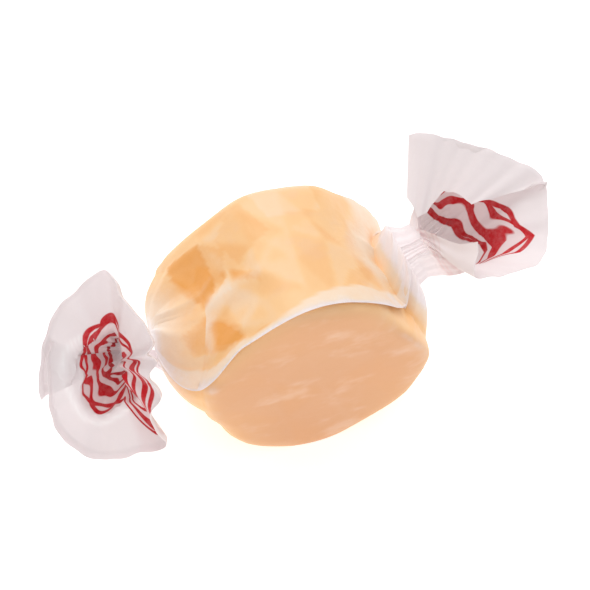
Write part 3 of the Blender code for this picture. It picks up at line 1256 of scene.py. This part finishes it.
class Bench:
    """One material, and the nodes that are added to it."""

    def __init__(self, name: str) -> None:
        """Starts an empty material of that name."""
        self.material = bpy.data.materials.new(name)
        self.material.use_nodes = True
        self.tree = self.material.node_tree
        self.tree.nodes.clear()

    def add(self, kind: str, settings: dict, sockets: dict, output: str = "") -> Signal:
        """Adds one node.

        Args:
            kind: The node's type.
            settings: Its properties, set before its sockets; "stops" are a ramp's, each a
                place and a colour.
            sockets: The value or the Signal of each input, by the input's identifier.
            output: Identifier of the output that is wanted; the first one if left out.

        Returns:
            That output.
        """
        node = self.tree.nodes.new(kind)
        for name, value in settings.items():
            if name == "stops":
                self.set_stops(node.color_ramp, value)
            else:
                setattr(node, name, value)
        inputs = {socket.identifier: socket for socket in node.inputs}
        for name, value in sockets.items():
            if isinstance(value, Signal):
                self.tree.links.new(value.socket, inputs[name])
            else:
                inputs[name].default_value = value
        outputs = {socket.identifier: socket for socket in node.outputs}
        return Signal(self, outputs[output] if output else node.outputs[0])

    def set_stops(self, ramp: bpy.types.ColorRamp, stops: list) -> None:
        """Gives a ramp its stops.

        Args:
            ramp: The ramp.
            stops: A place and a colour for each, the first and last place included.
        """
        while len(ramp.elements) < len(stops):
            ramp.elements.new(0.5)
        for element, (place, colour) in zip(ramp.elements, stops):
            element.position, element.color = place, colour

    def guide(self, name: str) -> Signal:
        """The value that the mesh holds under that name."""
        return self.add("ShaderNodeAttribute", {"attribute_name": name}, {}, "Fac")

    def place(self) -> Signal:
        """The place of each point on the object."""
        return self.add("ShaderNodeTexCoord", {}, {}, "Object")

    def noise(self, place: Signal, grain: float, detail: float, stretch: tuple = (1, 1, 1)) -> Signal:
        """Uneven cloudiness between 0 and 1.

        Args:
            place: Where.
            grain: Size of a cloud.
            detail: How many finer levels it has.
            stretch: How much longer a cloud is along each axis.

        Returns:
            The cloudiness.
        """
        scale = tuple(1 / (grain * share) for share in stretch)
        scaled = self.add("ShaderNodeMapping", {}, {"Vector": place, "Scale": scale})
        sockets = {"Vector": scaled, "Scale": 1.0, "Detail": detail, "Roughness": 0.55}
        return self.add("ShaderNodeTexNoise", {}, sockets)

    def blend(self, factor: "Signal | float", low: object, high: object) -> Signal:
        """Two colours mixed.

        Args:
            factor: 0 for the first, 1 for the second.
            low: The first colour.
            high: The second colour.

        Returns:
            The mixed colour.
        """
        sockets = {"Factor_Float": factor, "A_Color": low, "B_Color": high}
        return self.add("ShaderNodeMix", {"data_type": "RGBA"}, sockets, "Result_Color")

    def relief(self, height: Signal, depth: float) -> Signal:
        """The normal of a surface with fine relief.

        Args:
            height: From 0 to 1.
            depth: Between the highest and the lowest place.

        Returns:
            The normal.
        """
        return self.add("ShaderNodeBump", {}, {"Height": height, "Distance": depth, "Strength": 1.0})

    def output(self, surface: Signal) -> bpy.types.Material:
        """Ends the material in a surface.

        Args:
            surface: The surface.

        Returns:
            The finished material.
        """
        node = self.tree.nodes.new("ShaderNodeOutputMaterial")
        self.tree.links.new(surface.socket, node.inputs["Surface"])
        return self.material


@dataclass(frozen=True)
class TaffyFinish:
    """Soft pulled sugar, a little waxy, with pale streaks of trapped air.

    Attributes:
        body: Its colour.
        pale: The colour of its streaks.
        roughness: Of its skin.
    """

    body: Colour = (0.88, 0.50, 0.20, 1.0)
    pale: Colour = (0.94, 0.68, 0.42, 1.0)
    roughness: float = 0.42

    def material(self) -> bpy.types.Material:
        """Builds the material.

        Returns:
            The material.
        """
        bench = Bench("pulled_taffy")
        place = bench.place()
        streaks = bench.noise(place, 2.4 * MM, 4.0, (3.0, 1.0, 0.8)).climb(0.40, 0.75)
        grain = bench.noise(place, 0.6 * MM, 3.0)
        sockets = {
            "Base Color": bench.blend(streaks * 0.7, self.body, self.pale),
            "Roughness": self.roughness + 0.12 * grain,
            "Normal": bench.relief(grain, 0.05 * MM),
        }
        return bench.output(bench.add("ShaderNodeBsdfPrincipled", {}, sockets))


@dataclass(frozen=True)
class Print:
    """A row of red scrollwork printed across each end of the sheet.

    Its lengths are in half heights of the row, as the sheet's guides are.

    Attributes:
        pitch: Across the sheet, from one lobe of its outline to the next.
        half: Half the row's height between two lobes.
        lobe: How far a lobe stands out.
        stroke: Half the width of the outline.
        patch: Size of the patches where the ink lies heavier or thinner.
        soft: How softly a stroke ends.
        grain: Size of a scroll.
        sway: How strongly the strokes wander up and down.
        turns: How closely they lie one above another.
        weight: How much of the row the strokes fill.
        wash: Strength of the pale ink between them.
    """

    pitch: float = 1.3
    half: float = 0.80
    lobe: float = 0.26
    stroke: float = 0.11
    patch: float = 0.7
    soft: float = 0.12
    grain: float = 1.05
    sway: float = 7.0
    turns: float = 4.6
    weight: float = 0.70
    wash: float = 0.18

    def mask(self, bench: Bench) -> Signal:
        """How much ink there is.

        Args:
            bench: The material it is added to.

        Returns:
            1 in the middle of a stroke and 0 on bare paper.
        """
        across, out = bench.guide("print_across"), bench.guide("print_out")
        flat = bench.add("ShaderNodeCombineXYZ", {}, {"X": across, "Y": out})
        wave = (bench.noise(flat, self.grain, 0.0) * self.sway + out * self.turns).sine()
        uneven = bench.noise(flat, self.patch, 0.0)
        lobes = abs((across * (math.pi / self.pitch) + uneven).sine())
        edge = abs(out) - self.half - self.lobe * lobes
        inside = edge.climb(0.02, -0.04)
        strokes = abs(wave) - self.weight * (0.35 + 1.2 * uneven)
        strokes = strokes.climb(self.soft, -self.soft) * inside
        outline = (abs(edge) - self.stroke * (0.3 + 1.5 * uneven)).climb(0.03, -0.03)
        return strokes.larger(outline).larger(inside * self.wash)


@dataclass(frozen=True)
class PaperFinish:
    """Thin waxed paper: milky where it stands off, and clear where it lies on the taffy.

    It isn't see-through itself: where it would be clear, it takes the colour that the taffy
    shows through it.

    Attributes:
        milk: The paper's own colour.
        shadow: Its painted shade, deep inside a fan's round crease.
        bright: Its painted highlight, on the sharp line of a fan's round crease.
        passed: The colour of light that has passed through it.
        rim: What shows through it on the puck's rim.
        cream: What shows through it where it stands off a little.
        cut: What shows through it on the cut faces.
        cloud: The colour of cloudy patches in both, strongest on the cut faces.
        deep: What shows through where it is pressed in.
        milky: Between which two grades of contact the milkiness goes.
        clear: Between which two the taffy comes through.
        blotch: How uneven the fibres make the contact.
        roughness: Of its smoothest fibres.
        relief: Height of its fine relief.
        red: The print's colour.
        printed: The print.
        ghost: How strongly the print shows on the other side of the sheet.
        glow: Share of light that passes through a wall of loose paper.
        shine: Strength of a painted glow, an emission that brightens loose paper and most of all
            gathered paper, in place of the light that it would scatter from within.
        thin: Share of that painted glow that a single layer has.
        specular: Strength of its reflections.
    """

    milk: Colour = (0.88, 0.82, 0.825, 1.0)
    shadow: Colour = (0.80, 0.72, 0.725, 1.0)
    bright: Colour = (0.97, 0.94, 0.94, 1.0)
    passed: Colour = (0.98, 0.94, 0.94, 1.0)
    rim: Colour = (0.93, 0.58, 0.29, 1.0)
    cream: Colour = (0.90, 0.72, 0.56, 1.0)
    cut: Colour = (0.745, 0.39, 0.205, 1.0)
    cloud: Colour = (0.84, 0.55, 0.38, 1.0)
    deep: Colour = (0.85, 0.375, 0.095, 1.0)
    milky: tuple[float, float] = (0.02, 0.34)
    clear: tuple[float, float] = (0.20, 0.95)
    blotch: float = 0.20
    roughness: float = 0.33
    relief: float = 0.10 * MM
    red: Colour = (0.60, 0.0, 0.008, 1.0)
    printed: Print = Print()
    ghost: float = 0.08
    glow: float = 0.30
    shine: float = 0.28
    thin: float = 0.20
    specular: float = 0.28

    def material(self) -> bpy.types.Material:
        """Builds the material.

        Returns:
            The material.
        """
        bench = Bench("waxed_paper")
        place = bench.place()
        clouds = bench.noise(place, 3.2 * MM, 3.0, (1.8, 1.0, 0.8))
        fibres = bench.noise(place, 0.7 * MM, 5.0)
        ridge = bench.guide("ridge")
        under = bench.blend(bench.guide("cut_face"), self.rim, self.cut)
        pale = clouds.climb(0.50, 0.78) * (0.35 + 0.40 * bench.guide("cut_face"))
        under = bench.blend(pale, under, self.cloud)
        # painted shade: the taffy's colour deepens in the paper's valleys
        under = bench.blend((-ridge).climb(0.05, 0.7) * 0.5, under, self.deep)
        shade = bench.guide("shade")
        # painted shade, partly closer contact: facets with a shade below 0 deepen in colour
        under = bench.blend((-shade).larger(0.0) * 0.8, under, self.deep)
        near = bench.guide("contact") + self.blotch * (fibres - 0.5)
        # painted light, partly looser paper: facets with a shade above 0 show less of the taffy
        touching = near.climb(*self.clear) * (1.0 - 0.9 * shade.larger(0.0))
        over = near.climb(*self.milky)
        # painted shade inside a fan's round crease, then a painted highlight along it
        loose = bench.blend(bench.guide("cup_shade_and_highlight").climb(0.0, 1.0), self.milk, self.shadow)
        loose = bench.blend((-bench.guide("cup_shade_and_highlight")).climb(0.0, 1.0), loose, self.bright)
        colour = bench.blend(over, loose, self.cream)
        colour = bench.blend(touching, colour, under)
        colour = bench.blend(ridge.climb(0.15, 1.2) * 0.35, colour, self.milk)
        ink = self.printed.mask(bench) * (0.85 + 0.25 * fibres)
        ink = ink * (self.ghost + (1 - self.ghost) * bench.guide("inside"))
        # painted light: an emission makes loose, unprinted paper glow, most where it is gathered
        lit = self.thin + (1 - self.thin) * bench.guide("gathered")
        bare = (1.0 - over) * (1.0 - ink)
        sockets = {
            "Base Color": bench.blend(ink, colour, self.red),
            "Roughness": self.roughness + 0.20 * fibres,
            "Normal": bench.relief(fibres * 0.5 + clouds * 0.5, self.relief),
            "Specular IOR Level": self.specular,
            "Emission Color": bench.blend(bare * lit, BLACK, self.milk),
            "Emission Strength": self.shine,
        }
        skin = bench.add("ShaderNodeBsdfPrincipled", {}, sockets)
        through = bench.add("ShaderNodeBsdfTranslucent", {}, {"Color": self.passed})
        factor = (1.0 - over) * (1.0 - 0.92 * ink) * self.glow
        mixed = {"Fac": factor, "Shader": skin, "Shader_001": through}
        return bench.output(bench.add("ShaderNodeMixShader", {}, mixed))


@dataclass(frozen=True)
class TableFinish:
    """A plain white table.

    Attributes:
        colour: Its colour.
        roughness: Of its top.
        glow: Light that comes up through it.
    """

    colour: Colour = (0.93, 0.93, 0.93, 1.0)
    roughness: float = 0.7
    glow: float = 0.48

    def material(self) -> bpy.types.Material:
        """Builds the material.

        Returns:
            The material.
        """
        bench = Bench("white_table")
        speck = bench.noise(bench.place(), 1.5 * MM, 2.0)
        sockets = {"Base Color": self.colour, "Roughness": self.roughness + 0.1 * speck}
        sockets |= {"Emission Color": WHITE, "Emission Strength": self.glow}
        return bench.output(bench.add("ShaderNodeBsdfPrincipled", {}, sockets))


# ---------------------------------------------------------------- the studio


@dataclass(frozen=True)
class Lamp:
    """A soft square lamp that looks at the piece.

    Attributes:
        name: Its name.
        azimuth: Of its place, in degrees; 0 is on the -Y side and 90 on the +X side.
        height: Of its place, in degrees above the table.
        distance: From the piece.
        size: Of its side.
        power: In watts.
        colour: Of its light.
    """

    name: str
    azimuth: float
    height: float
    distance: float
    size: float
    power: float
    colour: tuple[float, float, float] = (1.0, 1.0, 1.0)


@dataclass(frozen=True)
class Studio:
    """A white table under soft light, and the camera.

    Attributes:
        azimuth: Of the camera, in degrees; 0 looks along +Y and less turns it towards -X.
        height: Of the camera, in degrees above the table.
        view_width: What it sees from side to side, at the piece.
        lens: Its focal length, in millimetres.
        sensor: Its width, in millimetres.
        rise: How far above the puck's middle it looks, along its own upward axis.
        sky: Strength of the light from all round.
        table: Side of the table.
        lamps: The lamps.
    """

    azimuth: float = -19
    height: float = 51
    view_width: float = 64.6 * MM
    lens: float = 250
    sensor: float = 36
    rise: float = 2.1 * MM
    sky: float = 0.69
    table: float = 3.0
    lamps: tuple[Lamp, ...] = (
        Lamp("key", 168, 56, 0.36, 0.22, 0.58),
        Lamp("fill", -30, 35, 0.45, 0.30, 0.16),
    )

    def back(self, azimuth: float, height: float) -> Vector:
        """The unit vector from the piece towards a place at those two angles, in degrees."""
        turn, lift = math.radians(azimuth), math.radians(height)
        level = math.cos(lift)
        return Vector((math.sin(turn) * level, -math.cos(turn) * level, math.sin(lift)))

    def build_table(self) -> bpy.types.Object:
        """Makes the table top.

        Returns:
            The table.
        """
        block = bmesh.new()
        bmesh.ops.create_grid(block, x_segments=8, y_segments=8, size=self.table / 2)
        mesh = bpy.data.meshes.new("table")
        block.to_mesh(mesh)
        block.free()
        made = added("table", mesh)
        mesh.materials.append(TableFinish().material())
        return made

    def build_lamps(self, target: Vector) -> None:
        """Hangs the lamps round the piece.

        Args:
            target: Where they look.
        """
        for lamp in self.lamps:
            light = bpy.data.lights.new(lamp.name, "AREA")
            light.shape, light.size = "SQUARE", lamp.size
            light.energy, light.color = lamp.power, lamp.colour
            made = added(lamp.name, light)
            back = self.back(lamp.azimuth, lamp.height)
            made.location = target + back * lamp.distance
            made.rotation_euler = (-back).to_track_quat("-Z", "Y").to_euler()

    def build_sky(self) -> None:
        """Lights the scene evenly from all round."""
        world = bpy.data.worlds.new("sky")
        bpy.context.scene.world = world
        world.use_nodes = True
        sky = world.node_tree.nodes["Background"]
        sky.inputs["Color"].default_value = WHITE
        sky.inputs["Strength"].default_value = self.sky

    def build_camera(self, middle: Rows) -> None:
        """Sets the camera up.

        Args:
            middle: The puck's middle.
        """
        back = self.back(self.azimuth, self.height)
        right = Vector((0, 0, 1)).cross(back).normalized()
        upward = back.cross(right)
        distance = self.view_width / 2 / (self.sensor / 2 / self.lens)
        camera = bpy.data.cameras.new("camera")
        camera.lens, camera.sensor_width = self.lens, self.sensor
        camera.clip_start, camera.clip_end = 0.01, 10.0
        made = added("camera", camera)
        facing = Matrix((right, upward, back)).transposed().to_4x4()
        aim = Vector(middle) + upward * self.rise
        made.matrix_world = Matrix.Translation(aim + back * distance) @ facing
        bpy.context.scene.camera = made

    def build(self, middle: Rows) -> None:
        """Sets up the table, the light and the camera.

        Args:
            middle: The puck's middle.
        """
        self.build_camera(middle)
        self.build_table()
        self.build_lamps(Vector(middle))
        self.build_sky()
        view = bpy.context.scene.view_settings
        view.view_transform, view.look = "Standard", "None"


# ---------------------------------------------------------------- the whole


def place_piece(piece: bpy.types.Object, node: str, finish: bpy.types.Material) -> None:
    """Dresses a piece and puts it in the frame in a CAD node's stead.

    Args:
        piece: The piece.
        node: The node that it stands for.
        finish: Its material.
    """
    piece.data.materials.append(finish)
    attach(piece, "root")
    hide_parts(node)
    LOG.info("%s: %d faces", piece.name, len(piece.data.polygons))


def main() -> None:
    """Builds the piece and its studio."""
    logging.basicConfig(level=logging.INFO, format="%(name)s %(message)s")
    puck = Puck()
    Studio().build(puck.middle())
    place_piece(puck.build(), "taffy", TaffyFinish().material())
    wrapper = Wrapper(puck)
    place_piece(wrapper.build(), "wrapper", PaperFinish().material())


if __name__ == "__main__":
    main()
